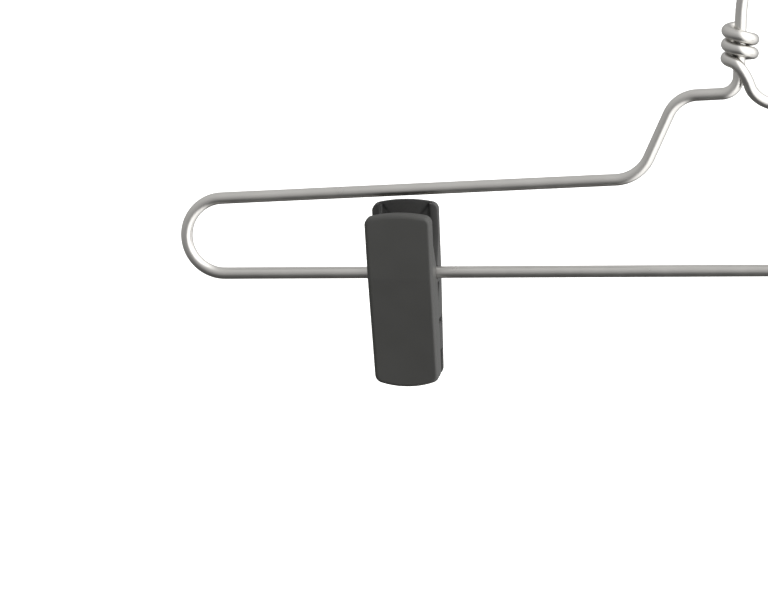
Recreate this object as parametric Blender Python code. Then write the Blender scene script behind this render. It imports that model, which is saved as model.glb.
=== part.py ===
"""A trouser and skirt hanger: one bent aluminium wire, with two sprung pinch clips on its lower bar.

Metres. +X runs along the lower bar, -Y is the front and +Z is up. The origin is the inside of the hook's
crown, where the rail carries the hanger. Heights below are measured up from the lower bar's axis, and one
empty carries everything down to the origin. In a clip, the bar's axis is the pivot.
"""

import math

import bmesh
import bpy
from mathutils import Matrix, Vector

MM = 0.001

# Wire frame
WIRE_DIAMETER = 4.0 * MM
OVERALL_WIDTH = 380.6 * MM
LOOP_HEIGHT = 25.1 * MM
UPPER_BAR_RISE = math.radians(2.19)
SLANT_FOOT = 34.1 * MM
SLANT_ANGLE = math.radians(25.4)
LEFT_SHOULDER_HEIGHT = 58.4 * MM
SHOULDER_RISE = math.radians(2.2)
RIGHT_SHOULDER_DROP = 3.2 * MM
SHOULDER_BEND_RADIUS = 11.0 * MM
SLANT_BEND_RADIUS = 13.0 * MM
NECK_BEND_RADIUS = 6.0 * MM
BEND_STEP = math.radians(11.0)

# Neck, wrapped end and hook
NECK_LEAN = math.radians(3.0)
NECK_PIVOT_HEIGHT = 73.0 * MM
WRAP_FOOT_HEIGHT = 69.7 * MM
WRAP_TURNS = 2.42
WRAP_GAP = 0.3 * MM
WRAP_TURN_GAP = 0.55 * MM
WRAP_TILT = math.radians(5.3)
WRAP_TO_HOOK = 3.35 * MM
WRAP_START = math.radians(-120.0)
WRAP_STEPS_PER_TURN = 22
ARM_REACH = 12.5 * MM
HOOK_RADIUS = 22.0 * MM
HOOK_SWEEP_RADIUS = 50.0 * MM
HOOK_END = math.radians(203.0)
WIRE_SIDES = 12

# Clip shells
CLIP_OFFSET = 114.0 * MM
CLIP_LEAN = math.radians(6.6)
CLIP_WIDTH = 22.5 * MM
JAW_TAPER = 0.6 * MM
FRONT_HANDLE_HEIGHT = 22.3 * MM
REAR_HANDLE_HEIGHT = 23.2 * MM
JAW_LENGTH = 38.6 * MM
HANDLE_HALF_DEPTH = 10.4 * MM
PIVOT_HALF_DEPTH = 9.8 * MM
JAW_HALF_DEPTH = 5.8 * MM
HANDLE_WALL_DEPTH = 4.3 * MM
EAR_HEIGHT = 11.0 * MM
PANEL = 2.0 * MM
SIDE_WALL = 2.4 * MM
TOP_LIP = 1.2 * MM
JAW_LIP = 2.0 * MM
SPLIT_GAP = 0.4 * MM
HANDLE_ARCH_RADIUS = 45.0 * MM
HANDLE_CORNER_RADIUS = 2.6 * MM
JAW_ARCH_RADIUS = 28.0 * MM
JAW_CORNER_RADIUS = 3.0 * MM
EDGE_ROUND = 1.3 * MM
REAR_WALL_FOOT = 16.2 * MM
REAR_EAR_FOOT = 3.6 * MM
RELIEF_DEPTH = 4.0 * MM
RELIEF_FOOT = 10.5 * MM

# Pads, sleeve and spring
PAD_TOP = 18.4 * MM
PAD_SHOULDER = 9.0 * MM
PAD_LENGTH = 15.8 * MM
PAD_TONGUE_WIDTH = 15.0 * MM
RIB_PITCH = 1.9 * MM
RIB_DEPTH = 0.6 * MM
FIT_GAP = 0.3 * MM
BUSH_WALL = 0.8 * MM
SPRING_WIRE = 1.1 * MM
SPRING_TURNS = 7
SPRING_TURN_GAP = 0.35 * MM
SPRING_ARM_HEIGHT = 15.0 * MM
SPRING_STEPS_PER_TURN = 14
SPRING_SIDES = 6

WIRE_RADIUS = WIRE_DIAMETER / 2
JAW_WIDTH = CLIP_WIDTH - JAW_TAPER
FRONT = -1
REAR = 1


def clear_scene():
    for old in list(bpy.data.objects):
        bpy.data.objects.remove(old, do_unlink=True)


def finish(name, color, roughness, metallic):
    """A Principled material."""
    material = bpy.data.materials.new(name)
    material.use_nodes = True
    shader = material.node_tree.nodes["Principled BSDF"]
    shader.inputs["Base Color"].default_value = (*color, 1.0)
    shader.inputs["Roughness"].default_value = roughness
    shader.inputs["Metallic"].default_value = metallic
    return material


def empty(name, parent=None, location=(0.0, 0.0, 0.0), turn_x=0.0):
    guide = bpy.data.objects.new(name, None)
    guide.parent = parent
    guide.location = location
    guide.rotation_euler = (turn_x, 0.0, 0.0)
    bpy.context.scene.collection.objects.link(guide)
    return guide


def place(name, data, parent, material):
    """An object on the given parent, with one material."""
    piece = bpy.data.objects.new(name, data)
    piece.parent = parent
    bpy.context.scene.collection.objects.link(piece)
    if material:
        data.materials.append(material)
    return piece


# --- paths ---------------------------------------------------------------------------------------


def rounded_corner(before, corner, after, radius):
    """Points of the arc that rounds a corner between two straight runs."""
    back = (before - corner).normalized()
    ahead = (after - corner).normalized()
    opening = back.angle(ahead)
    turn = math.pi - opening
    centre = corner + (back + ahead).normalized() * radius / math.sin(opening / 2)
    start = corner + back * radius / math.tan(opening / 2) - centre
    axis = back.cross(ahead).normalized()
    steps = max(2, math.ceil(turn / BEND_STEP))
    return [centre + Matrix.Rotation(-turn * i / steps, 3, axis) @ start for i in range(steps + 1)]


def rounded_run(corners):
    """A path through (point, radius) corners. Its two ends stay sharp."""
    path = [corners[0][0]]
    for i in range(1, len(corners) - 1):
        point, radius = corners[i]
        path += rounded_corner(corners[i - 1][0], point, corners[i + 1][0], radius)
    return path + [corners[-1][0]]


def flowing_run(start, start_heading, end, end_heading, steps):
    """A cubic from start to end that leaves and arrives along the two headings."""
    pull = (end - start).length
    leave = start_heading.normalized() * pull
    arrive = end_heading.normalized() * pull
    path = []
    for i in range(1, steps + 1):
        t = i / steps
        path.append(
            start * (2 * t**3 - 3 * t**2 + 1)
            + leave * (t**3 - 2 * t**2 + t)
            + end * (3 * t**2 - 2 * t**3)
            + arrive * (t**3 - t**2)
        )
    return path


def wire(name, path, diameter, sides, parent, material, rounded_start=False):
    """A round wire along the path, as a curve with a bevel. A rounded start narrows to a dome."""
    curve = bpy.data.curves.new(name, "CURVE")
    curve.dimensions = "3D"
    curve.bevel_depth = diameter / 2
    curve.bevel_resolution = sides // 2 - 2
    curve.use_fill_caps = True
    curve.twist_mode = "MINIMUM"
    radii = [1.0] * len(path)
    if rounded_start:
        dome = [math.radians(15.0), math.radians(40.0), math.radians(65.0)]
        inward = (path[1] - path[0]).normalized() * diameter / 2
        tip = path[0] - inward
        path = [tip + inward * (1 - math.cos(a)) for a in dome] + path
        radii = [math.sin(a) for a in dome] + radii
    spline = curve.splines.new("POLY")
    spline.points.add(len(path) - 1)
    for point, place_at, radius in zip(spline.points, path, radii):
        point.co = (*place_at, 1.0)
        point.radius = radius
    return place(name, curve, parent, material)


# --- wire frame ----------------------------------------------------------------------------------


def neck_point(height):
    """A point on the leaning neck's axis, at a height above the bar."""
    return Vector(((height - NECK_PIVOT_HEIGHT) * math.tan(NECK_LEAN), 0.0, height))


WRAP_PITCH = WIRE_DIAMETER + WRAP_TURN_GAP
WRAP_RADIUS = WIRE_DIAMETER + WRAP_GAP
HOOK_FOOT_HEIGHT = WRAP_FOOT_HEIGHT + WRAP_TURNS * WRAP_PITCH + WRAP_TO_HOOK


def hook_centres():
    """Centres of the hook's crown arc and of the sweep that leads up to it from the neck."""
    foot = neck_point(HOOK_FOOT_HEIGHT)
    sweep_x = foot.x + HOOK_SWEEP_RADIUS * math.cos(NECK_LEAN)
    sweep_z = foot.z - HOOK_SWEEP_RADIUS * math.sin(NECK_LEAN)
    rise = math.sqrt((HOOK_RADIUS + HOOK_SWEEP_RADIUS) ** 2 - sweep_x**2)
    return Vector((0.0, 0.0, sweep_z + rise)), Vector((sweep_x, 0.0, sweep_z))


def arc(centre, radius, start, stop):
    """Points on an upright arc in the hanger's plane."""
    steps = max(2, math.ceil(abs(stop - start) / BEND_STEP))
    angles = [start + (stop - start) * i / steps for i in range(steps + 1)]
    return [centre + Vector((math.cos(a), 0.0, math.sin(a))) * radius for a in angles]


def hook_path():
    """From the hook's tip over the crown and down the sweep to the neck."""
    crown, sweep = hook_centres()
    joint = math.atan2(sweep.z - crown.z, sweep.x - crown.x)
    path = arc(crown, HOOK_RADIUS, HOOK_END, joint)
    return path + arc(sweep, HOOK_SWEEP_RADIUS, math.pi + joint, math.pi - NECK_LEAN)[1:]


def wrap_point(turn):
    """A point on the wound end's axis, at a number of turns up from the start of the winding. Its turns tilt down
    to the right."""
    height = WRAP_FOOT_HEIGHT + turn * WRAP_PITCH
    angle = WRAP_START - math.tau * turn
    sink = -math.cos(angle) * math.tan(WRAP_TILT)
    around = Vector((math.cos(angle), math.sin(angle), sink)) * WRAP_RADIUS
    return neck_point(height) + around


def wrap_path(arm_end, arm_heading):
    """From the end of the right shoulder across the neck's front and up round it."""
    first = wrap_point(0.0)
    crossing = neck_point(WRAP_FOOT_HEIGHT - 2 * WIRE_DIAMETER) + Vector((1.0, -0.75, 0.0)) * WIRE_DIAMETER
    crossing_heading = Vector((-0.25, -0.25, 0.93))
    wound_heading = wrap_point(0.02) - first
    path = flowing_run(arm_end, arm_heading, crossing, crossing_heading, 8)
    path += flowing_run(crossing, crossing_heading, first, wound_heading, 8)
    count = math.ceil(WRAP_TURNS * WRAP_STEPS_PER_TURN)
    return path + [wrap_point(WRAP_TURNS * i / count) for i in range(1, count + 1)]


def frame_path():
    """The whole wire, from the hook's tip round the outline to the end that is wound on the neck."""
    end_x = (OVERALL_WIDTH - WIRE_DIAMETER) / 2
    loop_radius = LOOP_HEIGHT / (1.0 + math.tan((math.pi / 2 - UPPER_BAR_RISE) / 2))
    slant_z = LOOP_HEIGHT + (end_x - SLANT_FOOT) * math.tan(UPPER_BAR_RISE)
    left_x = SLANT_FOOT - (LEFT_SHOULDER_HEIGHT - slant_z) * math.tan(SLANT_ANGLE)
    right_height = LEFT_SHOULDER_HEIGHT - RIGHT_SHOULDER_DROP
    right_x = SLANT_FOOT - (right_height - slant_z) * math.tan(SLANT_ANGLE)
    neck_foot = neck_point(LEFT_SHOULDER_HEIGHT + left_x * math.tan(SHOULDER_RISE))
    hook = hook_path()
    corners = [
        (hook[-1], 0.0),
        (neck_foot, NECK_BEND_RADIUS),
        (Vector((-left_x, 0.0, LEFT_SHOULDER_HEIGHT)), SHOULDER_BEND_RADIUS),
        (Vector((-SLANT_FOOT, 0.0, slant_z)), SLANT_BEND_RADIUS),
        (Vector((-end_x, 0.0, LOOP_HEIGHT)), loop_radius),
        (Vector((-end_x, 0.0, 0.0)), loop_radius),
        (Vector((end_x, 0.0, 0.0)), loop_radius),
        (Vector((end_x, 0.0, LOOP_HEIGHT)), loop_radius),
        (Vector((SLANT_FOOT, 0.0, slant_z)), SLANT_BEND_RADIUS),
        (Vector((right_x, 0.0, right_height)), SHOULDER_BEND_RADIUS),
        (Vector((ARM_REACH, 0.0, right_height)), 0.0),
    ]
    outline = rounded_run(corners)
    return hook[:-1] + outline + wrap_path(outline[-1], Vector((-1.0, 0.0, 0.0)))


def make_wire_frame(parent):
    aluminium = finish("satin_aluminium", (0.52, 0.53, 0.54), 0.35, 1.0)
    wire("wire_frame", frame_path(), WIRE_DIAMETER, WIRE_SIDES, parent, aluminium, rounded_start=True)


# --- clip ----------------------------------------------------------------------------------------


def prism(name, outline, low, high, along):
    """A closed solid: an outline pushed from low to high along X or Y. The outline's second value is Z."""
    mesh = bpy.data.meshes.new(name)
    build = bmesh.new()
    rings = []
    for level in (low, high):
        ends = [(level, a, z) if along == "X" else (a, level, z) for a, z in outline]
        rings.append([build.verts.new(end) for end in ends])
    build.faces.new(rings[0])
    build.faces.new(rings[1])
    count = len(outline)
    for i in range(count):
        build.faces.new([rings[0][i], rings[0][(i + 1) % count], rings[1][(i + 1) % count], rings[1][i]])
    bmesh.ops.recalc_face_normals(build, faces=build.faces)
    build.to_mesh(mesh)
    build.free()
    return mesh


def cutter(name, mesh, target, operation):
    """Cuts the target with a helper that rides on the same parent and isn't rendered."""
    helper = place(name, mesh, target.parent, None)
    helper.hide_render = True
    helper.display_type = "WIRE"
    cut = target.modifiers.new(name, "BOOLEAN")
    cut.operation = operation
    cut.solver = "EXACT"
    cut.object = helper


def outer_depth(height, handle_height):
    """Distance of a shell's outer face from the clip's middle plane. It bends a little at the pivot."""
    if height > 0:
        return PIVOT_HALF_DEPTH + (HANDLE_HALF_DEPTH - PIVOT_HALF_DEPTH) * height / handle_height
    return PIVOT_HALF_DEPTH + (JAW_HALF_DEPTH - PIVOT_HALF_DEPTH) * -height / JAW_LENGTH


def arched_end(half_width, height, arch_radius, corner_radius):
    """One end of a shell's outline, from its right side over the arch to its left side."""
    run = half_width - corner_radius
    corner_z = height - arch_radius + math.sqrt((arch_radius - corner_radius) ** 2 - run**2)
    arch_z = height - arch_radius
    meet = math.atan2(corner_z - arch_z, run)
    corner_steps = 5
    arch_steps = 8
    right = []
    for i in range(corner_steps + 1):
        angle = meet * i / corner_steps
        right.append((run + corner_radius * math.cos(angle), corner_z + corner_radius * math.sin(angle)))
    arch = []
    for i in range(1, arch_steps):
        angle = meet + (math.pi - 2 * meet) * i / arch_steps
        arch.append((arch_radius * math.cos(angle), arch_z + arch_radius * math.sin(angle)))
    return right + arch + [(-x, z) for x, z in reversed(right)]


def face_outline(handle_height):
    """A shell seen from the front: parallel sides with an arched handle end and an arched jaw end."""
    top = arched_end(CLIP_WIDTH / 2, handle_height, HANDLE_ARCH_RADIUS, HANDLE_CORNER_RADIUS)
    foot = arched_end(JAW_WIDTH / 2, JAW_LENGTH, JAW_ARCH_RADIUS, JAW_CORNER_RADIUS)
    return top + [(-x, -z) for x, z in foot]


def shell_profile(side, handle_height):
    """A shell seen from the end of the bar: outer face, jaw, ear round the bar and handle rim. The rear one's walls
    are cut back in a wedge under the ear."""
    rim_depth = outer_depth(handle_height, handle_height) - HANDLE_WALL_DEPTH
    split = SPLIT_GAP / 2
    profile = [
        (outer_depth(handle_height, handle_height), handle_height),
        (outer_depth(0.0, handle_height), 0.0),
        (outer_depth(-JAW_LENGTH, handle_height), -JAW_LENGTH),
    ]
    if side == REAR:
        foot = outer_depth(-JAW_LENGTH, handle_height) - PANEL
        step = outer_depth(-REAR_WALL_FOOT, handle_height) - PANEL
        profile += [(foot, -JAW_LENGTH), (step, -REAR_WALL_FOOT), (split, -REAR_WALL_FOOT)]
        profile += [(split, -RELIEF_FOOT), (RELIEF_DEPTH, -REAR_EAR_FOOT), (split, -REAR_EAR_FOOT)]
    else:
        profile += [(split, -JAW_LENGTH)]
    profile += [(split, 0.0), (rim_depth, EAR_HEIGHT), (rim_depth, handle_height)]
    return [(side * y, z) for y, z in profile]


def shell_cavity(side, handle_height):
    """The hollow between a shell's side walls, open to the clip's middle plane. The rear one is open at its top."""
    foot = -REAR_WALL_FOOT if side == REAR else JAW_LIP - JAW_LENGTH
    past_foot = foot - FIT_GAP if side == REAR else foot
    past_middle = -2 * MM
    top = handle_height + 2 * MM if side == REAR else handle_height - TOP_LIP
    profile = [
        (outer_depth(top, handle_height) - PANEL, top),
        (outer_depth(0.0, handle_height) - PANEL, 0.0),
        (outer_depth(foot, handle_height) - PANEL, foot),
        (past_middle, past_foot),
        (past_middle, top),
    ]
    return [(side * y, z) for y, z in profile]


def bar_notch():
    """The bar's outline seen along X, with running clearance."""
    radius = WIRE_RADIUS + FIT_GAP
    sides = 24
    ring = [math.tau * (i + 0.5) / sides for i in range(sides)]
    return [(radius * math.cos(a), radius * math.sin(a)) for a in ring]


def make_shell(name, side, handle_height, clip, material):
    """One moulded half: a tray with a rounded outer face, cut to its outline, hollowed and notched."""
    half = CLIP_WIDTH / 2
    mesh = prism(name, shell_profile(side, handle_height), -half, half, "X")
    build = bmesh.new()
    build.from_mesh(mesh)
    outer = [
        edge
        for edge in build.edges
        if abs(edge.verts[0].co.x - edge.verts[1].co.x) < 1e-7
        and all(
            abs(abs(v.co.y) - outer_depth(v.co.z, handle_height)) < 1e-6 and abs(abs(v.co.x) - half) < 1e-6
            for v in edge.verts
        )
    ]
    bmesh.ops.bevel(build, geom=outer, offset=EDGE_ROUND, segments=3, profile=0.5, affect="EDGES")
    build.to_mesh(mesh)
    build.free()
    shell = place(name, mesh, clip, material)
    reach = 2 * HANDLE_HALF_DEPTH
    outline = prism(name + "_outline", face_outline(handle_height), -reach, reach, "Y")
    cutter(name + "_outline", outline, shell, "INTERSECT")
    room = JAW_WIDTH / 2 - SIDE_WALL
    hollow = prism(name + "_hollow", shell_cavity(side, handle_height), -room, room, "X")
    cutter(name + "_hollow", hollow, shell, "DIFFERENCE")
    notch = prism(name + "_notch", bar_notch(), -CLIP_WIDTH, CLIP_WIDTH, "X")
    cutter(name + "_notch", notch, shell, "DIFFERENCE")
    return shell


def pad_profile(side):
    """A pad seen from the end of the bar, with ribs across its gripping face."""
    back_top = outer_depth(-PAD_TOP, FRONT_HANDLE_HEIGHT) - PANEL - FIT_GAP
    back_foot = outer_depth(-PAD_TOP - PAD_LENGTH, FRONT_HANDLE_HEIGHT) - PANEL - FIT_GAP
    face = SPLIT_GAP / 2 + FIT_GAP / 4
    profile = [(back_foot, -PAD_TOP - PAD_LENGTH), (back_top, -PAD_TOP)]
    count = int(PAD_LENGTH / RIB_PITCH)
    pitch = PAD_LENGTH / count
    for i in range(count):
        top = -PAD_TOP - i * pitch
        profile += [(face, top), (face, top - 0.55 * pitch)]
        profile += [(face + RIB_DEPTH, top - 0.75 * pitch), (face + RIB_DEPTH, top - 0.9 * pitch)]
    profile.append((face, -PAD_TOP - PAD_LENGTH))
    return [(side * y, z) for y, z in profile]


def make_front_pad(name, clip, material):
    half = JAW_WIDTH / 2 - SIDE_WALL - FIT_GAP
    place(name, prism(name, pad_profile(FRONT), -half, half, "X"), clip, material)


def make_rear_pad(name, clip, material):
    """A block as wide as the jaw, with a narrower tongue down to the jaw's end."""
    half = JAW_WIDTH / 2 - FIT_GAP / 2
    pad = place(name, prism(name, pad_profile(REAR), -half, half, "X"), clip, material)
    tongue = PAD_TONGUE_WIDTH / 2
    shoulder = -PAD_TOP - PAD_SHOULDER
    past = 2 * JAW_WIDTH
    outline = [
        (past, past - PAD_TOP),
        (-past, past - PAD_TOP),
        (-past, shoulder),
        (-tongue, shoulder - MM),
        (-tongue, -past),
        (tongue, -past),
        (tongue, shoulder - MM),
        (past, shoulder),
    ]
    cutter(name + "_outline", prism(name + "_outline", outline, -past, past, "Y"), pad, "INTERSECT")


def make_bush(name, clip, material):
    """A thin sleeve on the bar between the ears."""
    half = JAW_WIDTH / 2 - SIDE_WALL - FIT_GAP
    inner = WIRE_RADIUS + FIT_GAP
    profile = [(inner, -half), (inner + BUSH_WALL, -half), (inner + BUSH_WALL, half), (inner, half)]
    sides = 20
    mesh = bpy.data.meshes.new(name)
    build = bmesh.new()
    rings = []
    for i in range(sides):
        angle = math.tau * i / sides
        ring = [build.verts.new((x, r * math.cos(angle), r * math.sin(angle))) for r, x in profile]
        rings.append(ring)
    for i in range(sides):
        here, there = rings[i], rings[(i + 1) % sides]
        for j in range(4):
            build.faces.new([here[j], here[(j + 1) % 4], there[(j + 1) % 4], there[j]])
    bmesh.ops.recalc_face_normals(build, faces=build.faces)
    build.to_mesh(mesh)
    build.free()
    place(name, mesh, clip, material)


def make_spring(name, clip, material):
    """A coil on the sleeve, whose two arms lean out to the backs of the handles."""
    radius = WIRE_RADIUS + 2 * FIT_GAP + BUSH_WALL + SPRING_WIRE / 2
    pitch = SPRING_WIRE + SPRING_TURN_GAP
    touch = outer_depth(SPRING_ARM_HEIGHT, FRONT_HANDLE_HEIGHT) - PANEL - FIT_GAP - SPRING_WIRE / 2
    reach = math.hypot(touch, SPRING_ARM_HEIGHT)
    leave = math.atan2(SPRING_ARM_HEIGHT, touch) - math.acos(radius / reach)
    whole = SPRING_TURNS * math.tau + math.pi - 2 * leave
    half_length = pitch * whole / math.tau / 2
    count = math.ceil(SPRING_STEPS_PER_TURN * whole / math.tau)
    coil = []
    for i in range(count + 1):
        angle = math.pi - leave + whole * i / count
        along = -half_length + 2 * half_length * i / count
        coil.append(Vector((along, radius * math.cos(angle), radius * math.sin(angle))))
    front_tip = Vector((-half_length, -touch, SPRING_ARM_HEIGHT))
    rear_tip = Vector((half_length, touch, SPRING_ARM_HEIGHT))
    wire(name, [front_tip] + coil + [rear_tip], SPRING_WIRE, SPRING_SIDES, clip, material)


def make_clip(label, offset, hanger):
    """Both shells, their pads, the sleeve and the spring of one clip, about the bar's axis."""
    clip = empty(label + "_clip", hanger, (offset, 0.0, 0.0), CLIP_LEAN)
    front_plastic = finish(label + "_front_moulding", (0.055, 0.055, 0.052), 0.45, 0.0)
    rear_plastic = finish(label + "_rear_moulding", (0.050, 0.050, 0.048), 0.45, 0.0)
    front_rubber = finish(label + "_front_rubber", (0.015, 0.015, 0.015), 0.8, 0.0)
    rear_rubber = finish(label + "_rear_rubber", (0.015, 0.015, 0.015), 0.8, 0.0)
    nylon = finish(label + "_nylon", (0.60, 0.59, 0.55), 0.5, 0.0)
    steel = finish(label + "_spring_steel", (0.45, 0.45, 0.46), 0.3, 1.0)
    make_shell(label + "_front_shell", FRONT, FRONT_HANDLE_HEIGHT, clip, front_plastic)
    make_shell(label + "_rear_shell", REAR, REAR_HANDLE_HEIGHT, clip, rear_plastic)
    make_front_pad(label + "_front_pad", clip, front_rubber)
    make_rear_pad(label + "_rear_pad", clip, rear_rubber)
    make_bush(label + "_bush", clip, nylon)
    make_spring(label + "_spring", clip, steel)


def main():
    clear_scene()
    crown, _ = hook_centres()
    seat_height = crown.z + HOOK_RADIUS - WIRE_RADIUS
    hanger = empty("hanger", location=(0.0, 0.0, -seat_height))
    make_wire_frame(hanger)
    make_clip("left", -CLIP_OFFSET, hanger)
    make_clip("right", CLIP_OFFSET, hanger)


main()
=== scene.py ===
"""Looks of a wire trouser and skirt hanger with two pinch clips, laid out as an add-on.

Metres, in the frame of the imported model: +X along the lower bar, -Y the front, +Z up, and the origin at the
inside of the hook's crown. Heights of the wire and of the clips are given from the lower bar's axis, which is
each clip's pivot.
"""

import math

import bmesh
import bpy
import numpy as np
from mathutils import Matrix, Vector


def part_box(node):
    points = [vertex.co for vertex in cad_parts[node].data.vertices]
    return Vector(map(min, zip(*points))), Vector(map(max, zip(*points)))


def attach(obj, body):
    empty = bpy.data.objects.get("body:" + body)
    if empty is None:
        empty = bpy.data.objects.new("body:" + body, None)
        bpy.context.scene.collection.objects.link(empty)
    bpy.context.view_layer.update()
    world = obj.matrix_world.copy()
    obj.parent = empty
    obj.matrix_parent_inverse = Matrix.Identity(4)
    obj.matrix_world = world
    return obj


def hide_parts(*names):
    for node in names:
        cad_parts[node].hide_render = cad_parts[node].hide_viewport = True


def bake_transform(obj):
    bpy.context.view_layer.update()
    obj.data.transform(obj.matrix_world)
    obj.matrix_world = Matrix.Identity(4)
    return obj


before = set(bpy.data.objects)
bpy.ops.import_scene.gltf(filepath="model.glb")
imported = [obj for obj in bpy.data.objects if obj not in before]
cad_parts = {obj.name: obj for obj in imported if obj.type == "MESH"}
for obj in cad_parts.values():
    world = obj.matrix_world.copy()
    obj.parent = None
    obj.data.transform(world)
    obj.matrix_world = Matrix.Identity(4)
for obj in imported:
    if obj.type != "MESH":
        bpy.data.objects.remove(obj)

bl_info = {
    "name": "Pinch clip hanger",
    "version": (1, 0, 0),
    "blender": (4, 5, 0),
    "location": "3D View > Sidebar > Hanger",
    "description": "Bends the wire, moulds the clips and lights a trouser and skirt hanger",
    "category": "Object",
}

MM = 0.001
SIDES = ("left", "right")
FRONT = -1
REAR = 1
# Points along a curve: more where it is long or seen close.
ARC_STEP = math.radians(2.5)
ARCH_POINTS = 9
CURVE_POINTS = 24
WRAP_POINTS_PER_TURN = 72
SPRING_POINTS_PER_TURN = 40
WIRE_SIDES = 32
SPRING_SIDES = 12
SLEEVE_SIDES = 64
FLOOR_SIDES = 96
# A step in a rim is drawn over this height, so that its two points stay apart.
CREASE = 0.04 * MM
# A flat ring this wide beside a rounded edge keeps the edge's shading off the face.
GUARD = 0.3 * MM
# Extra heights at which a clip's sides have a point, besides those where their shape changes.
HANDLE_LEVELS = (14 * MM, 8 * MM, 5 * MM)
EAR_LEVEL = -3 * MM
RELIEF_LEVELS = (-7 * MM, -9 * MM)
JAW_LEVELS = (-13 * MM, -20 * MM, -25 * MM, -30 * MM)
# The wound end crosses the neck's front heading up, back to the left and forwards.
CROSSING_HEADING = (-0.25, -0.25, 0.93)
# Where it crosses: to the right and in front of the neck's axis, in wire thicknesses.
CROSSING_PLACE = (1.0, -0.75, 0.0)


# --- sizes and colours ---------------------------------------------------------------------------


def length(name, description, millimetres):
    return bpy.props.FloatProperty(
        name=name,
        description=description,
        default=millimetres * MM,
        subtype="DISTANCE",
        unit="LENGTH",
        precision=5,
    )


def angle(name, description, degrees):
    return bpy.props.FloatProperty(
        name=name, description=description, default=math.radians(degrees), subtype="ANGLE", unit="ROTATION"
    )


def linear(code):
    """The linear red, green and blue of an sRGB hex code."""
    parts = [int(code[i : i + 2], 16) / 255 for i in (1, 3, 5)]
    return tuple(c / 12.92 if c <= 0.04045 else ((c + 0.055) / 1.055) ** 2.4 for c in parts)


def colour(name, description, code):
    return bpy.props.FloatVectorProperty(
        name=name, description=description, default=linear(code), subtype="COLOR", size=3, min=0.0, max=1.0
    )


class WireSizes(bpy.types.PropertyGroup):
    """Sizes of the bent wire frame."""

    diameter: length("Wire diameter", "Thickness of the aluminium wire", 4.0)
    loop_height: length("Loop height", "Height of the upper bar over the lower one at each end", 25.1)
    upper_rise: angle("Upper bar rise", "Slope of the upper bar towards the middle", 2.19)
    slant_foot: length("Slant foot", "Distance of the slanted run's foot from the middle", 34.1)
    slant_angle: angle("Slant angle", "Lean of the slanted run from upright", 25.4)
    shoulder_height: length("Shoulder height", "Height of the left shoulder over the lower bar", 58.4)
    shoulder_rise: angle("Shoulder rise", "Slope of the left shoulder towards the neck", 2.2)
    shoulder_drop: length("Right shoulder drop", "How much lower the right shoulder lies", 3.2)
    shoulder_bend_radius: length("Shoulder bend radius", "Radius of the bends over the slanted runs", 11.0)
    slant_bend_radius: length("Slant bend radius", "Radius of the bends under the slanted runs", 13.0)
    neck_bend_radius: length("Neck bend radius", "Radius of the bend from shoulder to neck", 6.0)


class HookSizes(bpy.types.PropertyGroup):
    """Sizes of the neck, of the end wound round it and of the hook."""

    lean: angle("Neck lean", "Lean of the neck from upright", 3.0)
    pivot_height: length("Neck centre height", "Height at which the leaning neck crosses the middle", 73.0)
    wrap_foot: length("Winding foot", "Height at which the winding begins", 69.7)
    wrap_turns: bpy.props.FloatProperty(
        name="Winding turns", description="Turns round the neck", default=2.42
    )
    wrap_gap: length("Winding gap", "Gap between the winding and the neck", 0.3)
    turn_gap: length("Turn gap", "Gap between one turn and the next", 0.55)
    wrap_tilt: angle("Winding tilt", "Tilt of the winding's turns, down to the right", 5.3)
    wrap_to_hook: length("Winding to hook", "Straight neck left over the winding", 3.35)
    wrap_start: angle("Winding start", "Direction in which the winding begins", -120.0)
    arm_reach: length("Arm reach", "Distance from the middle where the right shoulder ends", 12.5)
    radius: length("Hook radius", "Radius of the hook's crown, to the wire's axis", 22.0)
    sweep_radius: length("Sweep radius", "Radius of the sweep from the neck to the crown", 50.0)
    end_angle: angle("Hook end", "Direction of the hook's tip from the crown's centre", 203.0)


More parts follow.
